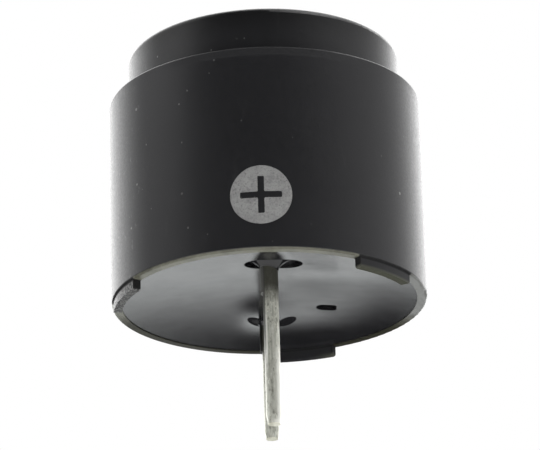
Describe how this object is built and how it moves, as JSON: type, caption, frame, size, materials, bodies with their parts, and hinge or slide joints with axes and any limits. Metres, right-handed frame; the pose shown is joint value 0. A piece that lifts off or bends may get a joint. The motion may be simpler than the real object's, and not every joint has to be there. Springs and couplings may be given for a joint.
{
  "type": "magnetic buzzer",
  "caption": "Round through-hole magnetic buzzer with a stepped collar, a top sound hole, arc feet and straight pins.",
  "frame": {"origin": "on the case axis, in the plane of the feet, which is the surface of the board that the buzzer is soldered to", "axes": "+Z along the case axis towards the sound hole, +Y from the positive pin towards the negative pin, pins point to -Z"},
  "size_m": [0.016, 0.016, 0.0211],
  "materials": {
    "case_plastic": "satin black moulding",
    "resin": "glossy poured resin",
    "tinned_pin": "drawn wire, tinned",
    "laminate": "bare board laminate",
    "solder": "bright solder",
    "chip_moulding": "moulded",
    "tinned_leg": "tin plate",
    "chip_ceramic": "black glaze",
    "glass_sleeve": "clear glass sleeve",
    "soft_iron": "zinc-plated iron",
    "ferrite": "sintered ferrite",
    "bobbin_plastic": "natural nylon",
    "winding_wire": "enamelled copper wire",
    "ring_plastic": "moulded",
    "spring_steel": "rolled nickel-iron foil",
    "print_ink": "grey pad-printed ink"
  },
  "bodies": {
    "root": {"housing": "case_plastic", "sealing_resin": "resin", "positive_pin": "tinned_pin", "negative_pin": "tinned_pin", "circuit_board": "laminate", "positive_solder": "solder", "negative_solder": "solder", "lead_solder": "solder", "transistor_body": "chip_moulding", "transistor_legs": "tinned_leg", "base_resistor": "chip_ceramic", "resistor_caps": "tinned_leg", "diode_glass": "glass_sleeve", "diode_caps": "tinned_leg", "chip_solder": "solder", "yoke_plate": "soft_iron", "pole_core": "soft_iron", "ring_magnet": "ferrite", "coil_bobbin": "bobbin_plastic", "drive_coil": "winding_wire", "feedback_coil": "winding_wire", "support_ring": "ring_plastic", "diaphragm": "spring_steel", "armature_disc": "soft_iron"}
  },
  "joints": []
}
